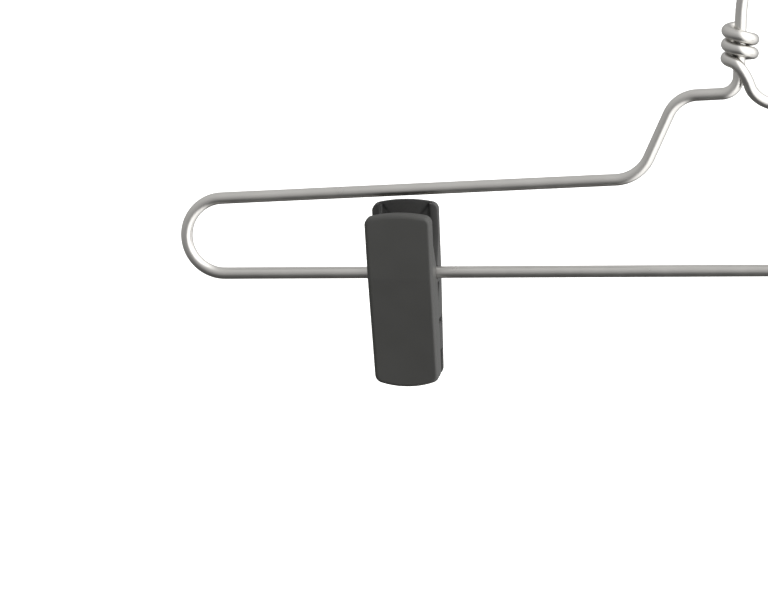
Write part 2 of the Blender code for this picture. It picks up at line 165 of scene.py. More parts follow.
class ShellSizes(bpy.types.PropertyGroup):
    """Sizes of the moulded halves of a clip."""

    lean: angle("Clip lean", "Turn of a resting clip about the bar", 6.6)
    width: length("Clip width", "Width of a clip at the handles", 22.5)
    jaw_taper: length("Jaw taper", "How much narrower the jaw is", 0.6)
    front_height: length("Front handle", "Height of the front handle over the bar", 22.3)
    rear_height: length("Rear handle", "Height of the rear handle over the bar", 23.2)
    jaw_length: length("Jaw length", "Length of the jaw under the bar", 38.6)
    handle_depth: length("Handle depth", "Outer face from the middle plane, at the handle's top", 10.4)
    pivot_depth: length("Pivot depth", "Outer face from the middle plane, at the bar", 9.8)
    jaw_depth: length("Jaw depth", "Outer face from the middle plane, at the jaw's end", 5.8)
    wall_depth: length("Handle wall", "Depth of the handle's side walls", 4.3)
    ear_height: length("Ear height", "Height at which the side walls reach the handle's rim", 11.0)
    panel: length("Panel", "Thickness of the outer panel", 2.0)
    side_wall: length("Side wall", "Thickness of the side walls", 2.4)
    top_lip: length("Top lip", "Thickness of the handle's top edge", 1.2)
    jaw_lip: length("Jaw lip", "Thickness of the jaw's lower edge", 2.0)
    split: length("Split", "Gap between the closed halves", 0.4)
    handle_arch: length("Handle arch", "Radius of the handle's arched end", 45.0)
    handle_corner: length("Handle corner", "Radius of the handle's corners", 2.6)
    jaw_arch: length("Jaw arch", "Radius of the jaw's arched end", 28.0)
    jaw_corner: length("Jaw corner", "Radius of the jaw's corners", 3.0)
    edge_round: length("Edge round", "Radius of the outer face's edge", 1.3)
    rim_round: length("Rim round", "Radius along both edges of the rim", 0.28)
    inner_round: length("Inner round", "Radius inside, between wall and panel", 0.7)
    rear_wall_foot: length("Rear wall foot", "Depth under the bar where the rear half's walls end", 16.2)
    rear_ear_foot: length("Rear ear foot", "Depth under the bar where the rear half's ear ends", 3.6)
    relief_depth: length("Relief depth", "How far the rear half's walls are cut back under the ear", 4.0)
    relief_foot: length("Relief foot", "Depth under the bar where that cut runs out", 10.5)
    rear_top_edge: length("Rear top edge", "Edge of the rear handle's open top", 0.5)
    front_hollow_corner: length("Front hollow corner", "Radius of the front hollow's corners", 0.9)
    rear_hollow_corner: length("Rear hollow corner", "Radius of the rear hollow's corners", 0.3)


class GripSizes(bpy.types.PropertyGroup):
    """Sizes of the pads, of the sleeve on the bar and of the spring."""

    pad_top: length("Pad top", "Depth of a pad's upper edge under the bar", 18.4)
    pad_length: length("Pad length", "Height of a pad", 15.8)
    pad_shoulder: length("Pad shoulder", "Height of the rear pad's wide part", 9.0)
    tongue_width: length("Tongue width", "Width of the rear pad's lower part", 15.0)
    pad_round: length("Pad round", "Radius along a pad's edges", 0.35)
    rib_pitch: length("Rib pitch", "Distance from one rib to the next", 1.9)
    rib_depth: length("Rib depth", "Depth of the grooves between ribs", 0.6)
    fit: length("Fit", "Gap left between fitted pieces", 0.3)
    bush_wall: length("Sleeve wall", "Thickness of the sleeve on the bar", 0.8)
    spring_wire: length("Spring wire", "Thickness of the spring's wire", 1.1)
    spring_turns: bpy.props.IntProperty(
        name="Spring turns", description="Whole turns of the spring", default=7
    )
    spring_gap: length("Spring gap", "Gap between the spring's turns", 0.35)
    spring_reach: length("Spring reach", "Height at which the spring's arms press on the handles", 15.0)


class Finishes(bpy.types.PropertyGroup):
    """Colours of the finishes."""

    aluminium: colour("Aluminium", "Satin anodised wire", "#D6D4D0")
    front_plastic: colour("Front moulding", "Dark grey plastic of the front halves", "#3D3D3B")
    rear_plastic: colour("Rear moulding", "Dark grey plastic of the rear halves", "#3C3C3B")
    rubber: colour("Pads", "Black rubber", "#2A2A2A")
    nylon: colour("Sleeve", "Natural nylon", "#DEDACB")
    steel: colour("Spring", "Zinc plated spring wire", "#B9BBBE")
    floor: colour("Floor", "Pale floor", "#F4F4F2")


class StageSizes(bpy.types.PropertyGroup):
    """Where the camera stands, and how far down the floor is."""

    azimuth: angle("Camera azimuth", "Turn of the camera to the right of the front", 10.0)
    elevation: angle("Camera elevation", "Height of the camera over the level", 8.59)
    roll: angle("Camera roll", "Turn of the camera about its own axis", -1.72)
    distance: length("Camera distance", "From the camera to the point it looks at", 1540.4)
    aim: bpy.props.FloatVectorProperty(
        name="Aim",
        description="Point that the camera looks at",
        default=(-0.12134, 0.0, -0.16265),
        subtype="XYZ",
    )
    lens: bpy.props.FloatProperty(name="Lens", description="Focal length in millimetres", default=214.7)
    floor_drop: length("Floor drop", "Depth of the floor under the lower bar", 210.0)
    floor_radius: length("Floor radius", "Radius of the floor", 12000.0)


# --- surfaces ------------------------------------------------------------------------------------


def bar_height():
    """Height of the lower bar's axis in the frame: the wire's lowest point, raised by its radius."""
    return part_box("wire_frame")[0].z + bpy.context.scene.hanger_wire.diameter / 2


def skin(rows, columns, close_rows=False):
    """Corner numbers of the four-sided faces of a grid. Its columns close into rings, and so do its rows if
    asked."""
    index = np.arange(rows * columns).reshape(rows, columns)
    if close_rows:
        index = np.vstack([index, index[:1]])
    turned = np.roll(index, -1, axis=1)
    return np.stack([index[:-1], index[1:], turned[1:], turned[:-1]], axis=-1).reshape(-1, 4)


def surface(name, grid, close_rows=False, hard_angle=40.0, drawn=None):
    """A mesh object from a grid of points, shaped (rows, columns, 3). Rows or points that fall together are
    merged, which closes ends and seams, and the faces are turned outwards. The array drawn, of the same shape,
    becomes the attribute of that name."""
    rows, columns, _ = grid.shape
    mesh = bpy.data.meshes.new(name)
    mesh.from_pydata(grid.reshape(-1, 3).tolist(), [], skin(rows, columns, close_rows).tolist())
    if drawn is not None:
        layer = mesh.attributes.new("drawn", "FLOAT_VECTOR", "POINT")
        layer.data.foreach_set("vector", drawn.astype(np.float32).ravel())
    build = bmesh.new()
    build.from_mesh(mesh)
    bmesh.ops.remove_doubles(build, verts=build.verts, dist=2e-7)
    bmesh.ops.dissolve_degenerate(build, edges=build.edges, dist=1e-7)
    bmesh.ops.recalc_face_normals(build, faces=build.faces)
    build.to_mesh(mesh)
    build.free()
    mesh.shade_smooth()
    mesh.set_sharp_from_angle(angle=math.radians(hard_angle))
    piece = bpy.data.objects.new(name, mesh)
    bpy.context.scene.collection.objects.link(piece)
    return piece


def unit(vectors):
    return vectors / np.linalg.norm(vectors, axis=-1, keepdims=True)


def wire_end(radius, domed):
    """Distances in from a wire's end, and the radii there, ending at the full radius. A dome is a quarter
    circle of the wire's radius outside the end, and a cut end is flat with a small chamfer."""
    if domed:
        climb = np.radians(np.arange(0, 91, 15))
        return -radius * np.cos(climb), radius * np.sin(climb)
    chamfer = radius / 8
    return np.array([0.0, 0.0, chamfer]), np.array([0.0, radius - chamfer, radius])


def tube(name, path, radius, side_on, sides, domed=False):
    """A round wire: a circle carried along the path. The circle at a point lies across the path's direction
    there, and its first spoke is the side_on vector with its share along the path taken out. Each point keeps
    its place round and along the wire in the attribute "drawn", which the drawing lines of the metal follow."""
    steps = np.linalg.norm(np.diff(path, axis=0), axis=1)
    run = np.concatenate([[0.0], np.cumsum(steps)])
    ahead = unit(np.gradient(path, run, axis=0))
    inward, thick = wire_end(radius, domed)
    cut_in, cut_thick = wire_end(radius, False)
    head = path[0] + inward[:, None] * ahead[0]
    tail = path[-1] - cut_in[::-1, None] * ahead[-1]
    first, last = len(inward), len(cut_in)
    centre = np.concatenate([head, path[1:-1], tail])
    thickness = np.concatenate([thick, np.full(len(path) - 2, radius), cut_thick[::-1]])
    along = np.concatenate([run[0] + inward, run[1:-1], run[-1] - cut_in[::-1]])
    middle = np.arange(1, len(path) - 1)
    order = np.concatenate([np.zeros(first, int), middle, np.full(last, len(path) - 1)])
    ahead, side_on = ahead[order], np.broadcast_to(side_on, path.shape)[order]
    spoke = unit(side_on - (side_on * ahead).sum(axis=1, keepdims=True) * ahead)
    across = np.cross(ahead, spoke)
    turn = np.arange(sides) * math.tau / sides
    ring = np.cos(turn)[None, :, None] * spoke[:, None] + np.sin(turn)[None, :, None] * across[:, None]
    grid = centre[:, None] + thickness[:, None, None] * ring
    place = np.empty(grid.shape)
    place[..., 0] = np.cos(turn) * radius
    place[..., 1] = np.sin(turn) * radius
    place[..., 2] = along[:, None]
    return surface(name, grid, drawn=place)


def clip_x(label):
    """The middle of a clip along the bar, which is the middle of its sleeve."""
    low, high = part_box(label + "_bush")
    return (low.x + high.x) / 2


def leant(points, label):
    """Points of an upright clip at the origin, turned by its lean about the bar and moved to their clip."""
    lean = bpy.context.scene.hanger_shell.lean
    x, y, z = points[..., 0], points[..., 1], points[..., 2]
    out = y * math.cos(lean) - z * math.sin(lean)
    up = y * math.sin(lean) + z * math.cos(lean)
    return np.stack([x + clip_x(label), out, up + bar_height()], axis=-1)


def dress(piece, body, nodes, material):
    """Puts a finished piece on its body, in place of CAD nodes, with its finish."""
    piece.data.materials.append(material)
    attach(piece, body)
    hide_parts(*nodes)


# --- wire ----------------------------------------------------------------------------------------


def flat(x, z):
    """A point or a direction in the hanger's plane."""
    return np.array([x, 0.0, z])


def arc(centre, radius, start, stop):
    """Points on a circle in the hanger's plane, from one angle to another, at most one step apart."""
    turn = np.linspace(start, stop, max(3, math.ceil(abs(stop - start) / ARC_STEP) + 1))
    return centre + radius * np.stack([np.cos(turn), 0 * turn, np.sin(turn)], axis=-1)


def rounded_corner(before, corner, after, radius):
    """The arc that touches both runs of a corner: its centre is on the line that halves the corner."""
    back, ahead = unit(before - corner), unit(after - corner)
    half = math.acos(float(back @ ahead)) / 2
    centre = corner + unit(back + ahead) * radius / math.sin(half)
    ends = [corner + way * radius / math.tan(half) - centre for way in (back, ahead)]
    start, stop = (math.atan2(end[2], end[0]) for end in ends)
    return arc(centre, radius, start, start + math.remainder(stop - start, math.tau))


def rounded_run(corners):
    """A path through (point, radius) corners, whose two ends stay sharp."""
    inner = [
        rounded_corner(before[0], here[0], after[0], here[1])
        for before, here, after in zip(corners, corners[1:], corners[2:])
    ]
    return np.concatenate([corners[0][0][None], *inner, corners[-1][0][None]])


def flowing_run(start, start_heading, end, end_heading):
    """A cubic that leaves the start and meets the end along the two headings, as strongly as they are apart."""
    pull = np.linalg.norm(end - start)
    leave, arrive = unit(start_heading) * pull, unit(end_heading) * pull
    t = (np.arange(1, CURVE_POINTS + 1) / CURVE_POINTS)[:, None]
    kept = start * (2 * t**3 - 3 * t**2 + 1) + end * (3 * t**2 - 2 * t**3)
    return kept + leave * (t**3 - 2 * t**2 + t) + arrive * (t**3 - t**2)


def neck_point(hook, height):
    """A point on the neck's axis: it leans, so it moves sideways in step with its height."""
    height = np.asarray(height, float)
    return np.stack([(height - hook.pivot_height) * math.tan(hook.lean), 0 * height, height], axis=-1)


def hook_path(hook, foot_height):
    """From the hook's tip over the crown, then down an arc that bends the other way to the neck. Both circles
    touch, so their centres are the sum of their radii apart, and the crown's centre is over the middle."""
    foot = neck_point(hook, foot_height)
    sweep = foot + hook.sweep_radius * flat(math.cos(hook.lean), -math.sin(hook.lean))
    rise = math.sqrt((hook.radius + hook.sweep_radius) ** 2 - sweep[0] ** 2)
    crown = flat(0.0, sweep[2] + rise)
    joint = math.atan2(sweep[2] - crown[2], sweep[0] - crown[0])
    over = arc(crown, hook.radius, hook.end_angle, joint)
    return np.concatenate([over, arc(sweep, hook.sweep_radius, math.pi + joint, math.pi - hook.lean)[1:]])


def wrap_points(wire, hook, turn):
    """A coil round the neck: each whole turn climbs the wire's thickness and the gap between turns, and the
    turns tilt down to the right."""
    turn = np.asarray(turn, float)
    way = hook.wrap_start - math.tau * turn
    sink = -np.cos(way) * math.tan(hook.wrap_tilt)
    out = (wire.diameter + hook.wrap_gap) * np.stack([np.cos(way), np.sin(way), sink], axis=-1)
    return neck_point(hook, hook.wrap_foot + turn * (wire.diameter + hook.turn_gap)) + out


def wrap_path(wire, hook, arm_end):
    """From the right shoulder's end across the neck's front, up its side and round it."""
    first, just_after = wrap_points(wire, hook, 0.0), wrap_points(wire, hook, 0.02)
    heading = np.array(CROSSING_HEADING)
    crossing = neck_point(hook, hook.wrap_foot - 2 * wire.diameter) + wire.diameter * np.array(CROSSING_PLACE)
    onto = flowing_run(arm_end, np.array([-1.0, 0.0, 0.0]), crossing, heading)
    up = flowing_run(crossing, heading, first, just_after - first)
    count = math.ceil(hook.wrap_turns * WRAP_POINTS_PER_TURN)
    wound = wrap_points(wire, hook, hook.wrap_turns * np.arange(1, count + 1) / count)
    return onto, up, wound


def frame_path(wire, hook):
    """The whole wire from the hook's tip to the wound end, and the sideways vector of its circle at each point.
    The vector points to the back along the flat part and up in the winding, and turns between them. Points that
    fall together are dropped, because the path has no direction there."""
    low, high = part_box("wire_frame")
    end_x = (high.x - low.x - wire.diameter) / 2
    loop_radius = wire.loop_height / (1 + math.tan((math.pi / 2 - wire.upper_rise) / 2))
    slant_z = wire.loop_height + (end_x - wire.slant_foot) * math.tan(wire.upper_rise)
    right_height = wire.shoulder_height - wire.shoulder_drop
    left_x, right_x = (
        wire.slant_foot - (height - slant_z) * math.tan(wire.slant_angle)
        for height in (wire.shoulder_height, right_height)
    )
    foot = hook.wrap_foot + hook.wrap_turns * (wire.diameter + hook.turn_gap) + hook.wrap_to_hook
    over = hook_path(hook, foot)
    neck_foot = neck_point(hook, wire.shoulder_height + left_x * math.tan(wire.shoulder_rise))
    outline = rounded_run([
        (over[-1], 0.0),
        (neck_foot, wire.neck_bend_radius),
        (flat(-left_x, wire.shoulder_height), wire.shoulder_bend_radius),
        (flat(-wire.slant_foot, slant_z), wire.slant_bend_radius),
        (flat(-end_x, wire.loop_height), loop_radius),
        (flat(-end_x, 0.0), loop_radius),
        (flat(end_x, 0.0), loop_radius),
        (flat(end_x, wire.loop_height), loop_radius),
        (flat(wire.slant_foot, slant_z), wire.slant_bend_radius),
        (flat(right_x, right_height), wire.shoulder_bend_radius),
        (flat(hook.arm_reach, right_height), 0.0),
    ])
    onto, up, wound = wrap_path(wire, hook, outline[-1])
    path = np.concatenate([over[:-1], outline, onto, up, wound]) + flat(0.0, bar_height())
    apart = np.linalg.norm(np.diff(path, axis=0), axis=1) > 0.001 * wire.diameter
    path = path[np.append(True, apart)]
    flatwise = len(path) - len(up) - len(wound)
    share = np.concatenate([np.zeros(flatwise), np.linspace(0, 1, len(up)), np.ones(len(wound))])[:, None]
    return path, np.array([0.0, 1.0, 0.0]) * (1 - share) + np.array([0.0, 0.0, 1.0]) * share


# --- clips ---------------------------------------------------------------------------------------


def outer_depth(sizes, z, handle_height):
    """The outer face's distance from a clip's middle plane: straight from handle to bar and from bar to jaw."""
    heights = [-sizes.jaw_length, 0.0, handle_height]
    return np.interp(z, heights, [sizes.jaw_depth, sizes.pivot_depth, sizes.handle_depth])


def arched_end(half, height, arch_radius, corner_radius):
    """The right half of an arched end, from the middle to the side, and the outward directions there. A corner
    arc lies inside the arch and touches both it and the side."""
    run = half - corner_radius
    corner_z = height - arch_radius + math.sqrt((arch_radius - corner_radius) ** 2 - run**2)
    meet = math.atan2(corner_z - height + arch_radius, run)
    arch = np.linspace(math.pi / 2, meet, ARCH_POINTS)
    corner = np.linspace(meet, 0.0, ARCH_POINTS)[1:]
    turn = np.append(arch, corner)
    out = np.stack([np.cos(turn), np.sin(turn)], axis=-1)
    on_corner = (np.arange(len(turn)) >= ARCH_POINTS)[:, None]
    centres = np.where(on_corner, [run, corner_z], [0.0, height - arch_radius])
    return centres + np.where(on_corner, corner_radius, arch_radius) * out, out


def closed_outline(top, foot, levels):
    """A symmetric outline from two arched ends, the foot's turned upside down, with the side's points at the
    given heights on the straight line between the ends."""
    down = np.array([1.0, -1.0])
    foot_points, foot_out = foot[0][::-1] * down, foot[1][::-1] * down
    side_z = levels[(levels < top[0][-1, 1]) & (levels > foot_points[0, 1])]
    ends = [foot_points[0], top[0][-1]]
    side_x = np.interp(side_z, [ends[0][1], ends[1][1]], [ends[0][0], ends[1][0]])
    right = np.concatenate([top[0], np.stack([side_x, side_z], axis=-1), foot_points])
    out = np.concatenate([top[1], np.tile([1.0, 0.0], (len(side_z), 1)), foot_out])
    mirror = np.array([-1.0, 1.0])
    return np.concatenate([right, right[-2:0:-1] * mirror]), np.concatenate([out, out[-2:0:-1] * mirror])


def shell_grid(sizes, side, handle_height, bar_radius):
    """One moulded half as rings that follow its outline: from the middle of the outer face out to the rounded
    edge, down the wall, over the rim, down the inside and in to the middle of the panel. A ring's points have
    an outline point, moved in by an offset, and a depth from the clip's middle plane. Rings in a face shrink
    onto a line down the middle. The rim's depth depends on height: the handle's wall, the ear, the half round
    for the bar, the rear half's cut under its ear, and the split between the halves. Where the rear half has no
    wall, over its top arch and under its walls' foot, the rim lies in the panel's inner face."""
    half, foot_half = sizes.width / 2, (sizes.width - sizes.jaw_taper) / 2
    room = foot_half - sizes.side_wall
    if side == REAR:
        top_lip, corner = sizes.rear_top_edge, sizes.rear_hollow_corner
    else:
        top_lip, corner = sizes.top_lip, sizes.front_hollow_corner
    notch = np.radians(np.arange(85.0, -86.0, -10.0))
    step, ear_foot, relief_foot = sizes.rear_wall_foot, sizes.rear_ear_foot, sizes.relief_foot
    shaped = [sizes.ear_height, -ear_foot, -ear_foot - CREASE, -relief_foot, -step, -step - CREASE]
    extra = [*HANDLE_LEVELS, EAR_LEVEL, *RELIEF_LEVELS, *JAW_LEVELS]
    levels = np.sort(np.concatenate([shaped, extra, bar_radius * np.sin(notch)]))[::-1]
    outline, out = closed_outline(
        arched_end(half, handle_height, sizes.handle_arch, sizes.handle_corner),
        arched_end(foot_half, sizes.jaw_length, sizes.jaw_arch, sizes.jaw_corner),
        levels,
    )
    hollow, hollow_out = closed_outline(
        arched_end(room, handle_height - top_lip, sizes.handle_arch - top_lip, corner),
        arched_end(room, sizes.jaw_length - sizes.jaw_lip, sizes.jaw_arch - sizes.jaw_lip, corner),
        levels,
    )
    arch = np.zeros(len(outline), bool)
    arch[:ARCH_POINTS] = arch[1 - ARCH_POINTS :] = True

    def depth(z):
        return outer_depth(sizes, z, handle_height)

    def rim(z):
        rim_depths = [sizes.split / 2, sizes.handle_depth - sizes.wall_depth]
        wall = np.interp(z, [0.0, sizes.ear_height], rim_depths)
        edge = np.maximum(wall, np.sqrt(np.clip(bar_radius**2 - z**2, 0.0, None)))
        if side == FRONT:
            return edge
        cut = np.interp(z, [-relief_foot, -ear_foot - CREASE], [sizes.split / 2, sizes.relief_depth])
        edge = np.where(z < -ear_foot - CREASE / 2, cut, edge)
        return np.where((z < -step - CREASE / 2) | arch, depth(z) - sizes.panel, edge)

    rings = []

    def ring(points, deep):
        deep = side * np.broadcast_to(deep, len(points))
        rings.append(np.stack([points[:, 0], deep, points[:, 1]], axis=-1))

    def face(points, shares, inset):
        spine_z = np.clip(points[:, 1], foot_half - sizes.jaw_length, handle_height - half)
        spine = np.stack([0 * spine_z, spine_z], axis=-1)
        for share in shares:
            spread = spine + (points - spine) * share
            ring(spread, depth(spread[:, 1]) - inset)

    edge = sizes.edge_round
    face(outline - edge * out, (0.0, 0.35, 0.7), 0.0)
    face(outline - (edge + GUARD) * out, (1.0,), 0.0)
    for tilt in np.radians(np.linspace(0.0, 90.0, 9)):
        points = outline - edge * (1 - math.sin(tilt)) * out
        ring(points, depth(points[:, 1]) - edge * (1 - math.cos(tilt)))
    wall_z, hollow_z = outline[:, 1], hollow[:, 1]
    for tilt in np.radians(np.linspace(0.0, 90.0, 5)):
        inset = sizes.rim_round * (1 - math.cos(tilt))
        ring(outline - inset * out, rim(wall_z) + sizes.rim_round * (1 - math.sin(tilt)))
    drop = np.clip(depth(hollow_z) - sizes.panel - rim(hollow_z), 0.0, None)
    lip, bed = (np.minimum(size, drop / 2) for size in (sizes.rim_round, sizes.inner_round))
    for tilt in np.radians(np.linspace(0.0, 90.0, 5)):
        points = hollow + (lip * (1 - math.sin(tilt)))[:, None] * hollow_out
        ring(points, rim(hollow_z) + lip * (1 - math.cos(tilt)))
    for tilt in np.radians(np.linspace(0.0, 90.0, 6)):
        points = hollow - (bed * (1 - math.cos(tilt)))[:, None] * hollow_out
        ring(points, depth(points[:, 1]) - sizes.panel - bed * (1 - math.sin(tilt)))
    face(hollow - (bed + GUARD)[:, None] * hollow_out, (1.0, 0.75, 0.35, 0.0), sizes.panel)
    return np.stack(rings)


def pad_grid(shell, grip, side):
    """A pad as rounded rectangles stacked down the jaw. The gripping side steps in and out once for each rib,
    the back follows the panel, and the rear pad's half width drops from the jaw's to the tongue's. Both ends
    shrink to a line."""
    room = (shell.width - shell.jaw_taper) / 2
    wide = room - grip.fit / 2 if side == REAR else room - shell.side_wall - grip.fit
    narrow = grip.tongue_width / 2 if side == REAR else wide
    count = int(grip.pad_length / grip.rib_pitch)
    shares = np.array([0.0, 0.45, 0.55, 0.65, 0.75, 0.82, 0.9, 0.96])
    levels = ((np.arange(count)[:, None] + shares) / count).ravel()
    swell = np.tile([0.0, 0.0, 0.14, 0.5, 1.0, 1.0, 1.0, 0.4], count)
    end = grip.pad_round * (1 - np.cos(np.radians([0.0, 30.0, 60.0, 90.0])))
    levels = np.unique(np.concatenate([levels, end / grip.pad_length, 1 - end / grip.pad_length]))
    swell = np.interp(levels, ((np.arange(count)[:, None] + shares) / count).ravel(), swell, right=0.0)
    z = -grip.pad_top - levels * grip.pad_length
    slack = np.clip(np.minimum(levels, 1 - levels) * grip.pad_length, 0.0, grip.pad_round)
    tuck = grip.pad_round - np.sqrt(np.clip(grip.pad_round**2 - (grip.pad_round - slack) ** 2, 0.0, None))
    shoulder = -grip.pad_top - grip.pad_shoulder
    half = np.interp(z, [shoulder - MM, shoulder], [narrow, wide]) - tuck
    near = shell.split / 2 + grip.fit / 4 + swell * grip.rib_depth + tuck
    far = outer_depth(shell, z, shell.front_height) - shell.panel - grip.fit - tuck
    r = grip.pad_round * 0.8
    turn = np.radians(np.arange(0.0, 360.0, 90.0)[:, None] + np.array([0.0, 30.0, 60.0, 90.0])).ravel()
    right, back = np.sign(np.cos(turn.reshape(4, 4).mean(1))), np.sign(np.sin(turn.reshape(4, 4).mean(1)))
    right, back = np.repeat(right, 4), np.repeat(back, 4)
    x = right * (half[:, None] - r) + r * np.cos(turn)
    y = np.where(back > 0, far[:, None] - r, near[:, None] + r) + r * np.sin(turn)
    rows = np.stack([x, side * y, np.broadcast_to(z[:, None], x.shape)], axis=-1)
    shut = rows[[0, -1]].copy()
    shut[..., 1] = side * ((near + far) / 2)[[0, -1], None]
    return np.concatenate([shut[:1], rows, shut[1:]])


def bush_grid(shell, grip, wire):
    """A sleeve: a rectangle with small chamfers, carried round the bar."""
    half = (shell.width - shell.jaw_taper) / 2 - shell.side_wall - grip.fit
    inner = wire.diameter / 2 + grip.fit
    outer, cut = inner + grip.bush_wall, 0.15 * MM
    along = np.array([-half, -half, cut - half, half - cut, half, half, half - cut, cut - half])
    out = np.array([inner + cut, outer - cut, outer, outer, outer - cut, inner + cut, inner, inner])
    turn = (np.arange(SLEEVE_SIDES) * math.tau / SLEEVE_SIDES)[:, None]
    y, z = out * np.cos(turn), out * np.sin(turn)
    return np.stack([np.broadcast_to(along, y.shape), y, z], axis=-1)


def spring_path(shell, grip, wire):
    """A coil on the sleeve, and half its length: a helix along the bar, whose ends leave along tangents out to
    the handles' backs."""
    radius = wire.diameter / 2 + 2 * grip.fit + grip.bush_wall + grip.spring_wire / 2
    panel = outer_depth(shell, grip.spring_reach, shell.front_height)
    touch = panel - shell.panel - grip.fit - grip.spring_wire / 2
    leave = math.atan2(grip.spring_reach, touch) - math.acos(radius / math.hypot(touch, grip.spring_reach))
    whole = grip.spring_turns * math.tau + math.pi - 2 * leave
    half = (grip.spring_wire + grip.spring_gap) * whole / math.tau / 2
    share = np.linspace(0.0, 1.0, math.ceil(SPRING_POINTS_PER_TURN * whole / math.tau) + 1)
    way = math.pi - leave + whole * share
    coil = np.stack([half * (2 * share - 1), radius * np.cos(way), radius * np.sin(way)], axis=-1)
    front_tip = np.array([[-half, -touch, grip.spring_reach]])
    rear_tip = np.array([[half, touch, grip.spring_reach]])
    reach = np.linspace(0.0, 1.0, 9)[:-1, None]
    front_arm = front_tip + (coil[0] - front_tip) * reach
    rear_arm = (rear_tip + (coil[-1] - rear_tip) * reach)[::-1]
    return np.concatenate([front_arm, coil, rear_arm]), half


# --- finishes ------------------------------------------------------------------------------------


def add(tree, kind, inputs=None, **settings):
    """A node with its settings, whose inputs are given values or linked to other nodes' outputs."""
    made = tree.nodes.new(kind)
    for key, value in settings.items():
        setattr(made, key, value)
    for key, value in (inputs or {}).items():
        if isinstance(value, bpy.types.NodeSocket):
            tree.links.new(value, made.inputs[key])
        else:
            made.inputs[key].default_value = value
    return made


def blank(name):
    """A new material, its node tree and its shader."""
    material = bpy.data.materials.new(name)
    material.use_nodes = True
    return material, material.node_tree, material.node_tree.nodes["Principled BSDF"]


def opaque(rgb, level=1.0):
    return (*(min(1.0, c * level) for c in rgb), 1.0)


def satin_aluminium(rgb):
    """Satin anodised aluminium wire, drawn and then bent: a soft, even metal sheen with faint lines along the
    wire and slightly duller patches where it was handled."""
    material, tree, shader = blank("satin_anodised_aluminium")
    shader.inputs["Metallic"].default_value = 1.0
    drawn = add(tree, "ShaderNodeAttribute", attribute_name="drawn").outputs["Vector"]
    # Drawing lines are some 0.05 mm wide, and are drawn 0.5 mm wide here so that they show, and 40 mm long.
    pitch = (1 / (0.5 * MM), 1 / (0.5 * MM), 1 / (40 * MM))
    lined = add(tree, "ShaderNodeMapping", {"Vector": drawn, "Scale": pitch})
    lines = add(tree, "ShaderNodeTexNoise", {"Vector": lined.outputs[0], "Scale": 1.0, "Detail": 2.0})
    # The matt etch under the anodising has a grain of about 0.1 mm, drawn 0.3 mm wide.
    grained = add(tree, "ShaderNodeMapping", {"Vector": drawn, "Scale": (1 / (0.3 * MM),) * 3})
    grain = add(tree, "ShaderNodeTexNoise", {"Vector": grained.outputs[0], "Scale": 1.0, "Detail": 3.0})
    # Handled patches are 9 mm across.
    patched = add(tree, "ShaderNodeMapping", {"Vector": drawn, "Scale": (1 / (9 * MM),) * 3})
    patches = add(tree, "ShaderNodeTexNoise", {"Vector": patched.outputs[0], "Scale": 1.0, "Detail": 2.0})
    tone = add(
        tree,
        "ShaderNodeMix",
        {"Factor": patches.outputs["Fac"], 6: opaque(rgb, 0.95), 7: opaque(rgb, 1.03)},
        data_type="RGBA",
    )
    rough = add(
        tree,
        "ShaderNodeMapRange",
        {"Value": patches.outputs["Fac"], "From Min": 0.3, "From Max": 0.7, "To Min": 0.27, "To Max": 0.34},
    )
    ridge = add(
        tree,
        "ShaderNodeBump",
        {"Strength": 0.25, "Distance": 0.02 * MM, "Height": lines.outputs["Fac"]},
    )
    etch = add(
        tree,
        "ShaderNodeBump",
        {"Strength": 0.2, "Distance": 0.02 * MM, "Height": grain.outputs["Fac"], "Normal": ridge.outputs[0]},
    )
    tree.links.new(tone.outputs[2], shader.inputs["Base Color"])
    tree.links.new(rough.outputs[0], shader.inputs["Roughness"])
    tree.links.new(etch.outputs[0], shader.inputs["Normal"])
    return material


def moulded_plastic(name, rgb, grain_size, grain_depth, roughness, ior):
    """A moulded plastic or rubber: the tool's fine spark-eroded grain, and a tone and gloss that drift a little
    across the piece, as flow in the mould leaves them. Gives the material and its shader."""
    material, tree, shader = blank(name)
    shader.inputs["IOR"].default_value = ior
    at = add(tree, "ShaderNodeTexCoord").outputs["Object"]
    grain = add(tree, "ShaderNodeTexNoise", {"Vector": at, "Scale": 1 / grain_size, "Detail": 3.0})
    drift = add(tree, "ShaderNodeTexNoise", {"Vector": at, "Scale": 1 / (14 * MM), "Detail": 2.0})
    tone = add(
        tree,
        "ShaderNodeMix",
        {"Factor": drift.outputs["Fac"], 6: opaque(rgb, 0.94), 7: opaque(rgb, 1.06)},
        data_type="RGBA",
    )
    rough = add(
        tree,
        "ShaderNodeMapRange",
        {
            "Value": drift.outputs["Fac"],
            "From Min": 0.3,
            "From Max": 0.7,
            "To Min": roughness - 0.04,
            "To Max": roughness + 0.04,
        },
    )
    bump = add(
        tree,
        "ShaderNodeBump",
        {"Strength": 0.35, "Distance": grain_depth, "Height": grain.outputs["Fac"]},
    )
    tree.links.new(tone.outputs[2], shader.inputs["Base Color"])
    tree.links.new(rough.outputs[0], shader.inputs["Roughness"])
    tree.links.new(bump.outputs[0], shader.inputs["Normal"])
    return material, shader


def satin_abs(name, rgb):
    """Moulded ABS with a spark-eroded satin face: dark grey and even, with soft light along its rounded edges.
    The real grain is under 0.1 mm wide, and is drawn 0.35 mm wide so that it shows."""
    return moulded_plastic(name, rgb, 0.35 * MM, 0.02 * MM, 0.46, 1.54)[0]


def grip_rubber(rgb):
    """Moulded thermoplastic rubber: black and dull, with a dusty bloom. Its grain is drawn 0.4 mm wide."""
    material, shader = moulded_plastic("thermoplastic_rubber", rgb, 0.4 * MM, 0.03 * MM, 0.78, 1.50)
    shader.inputs["Sheen Weight"].default_value = 0.05
    shader.inputs["Sheen Roughness"].default_value = 0.6
    return material


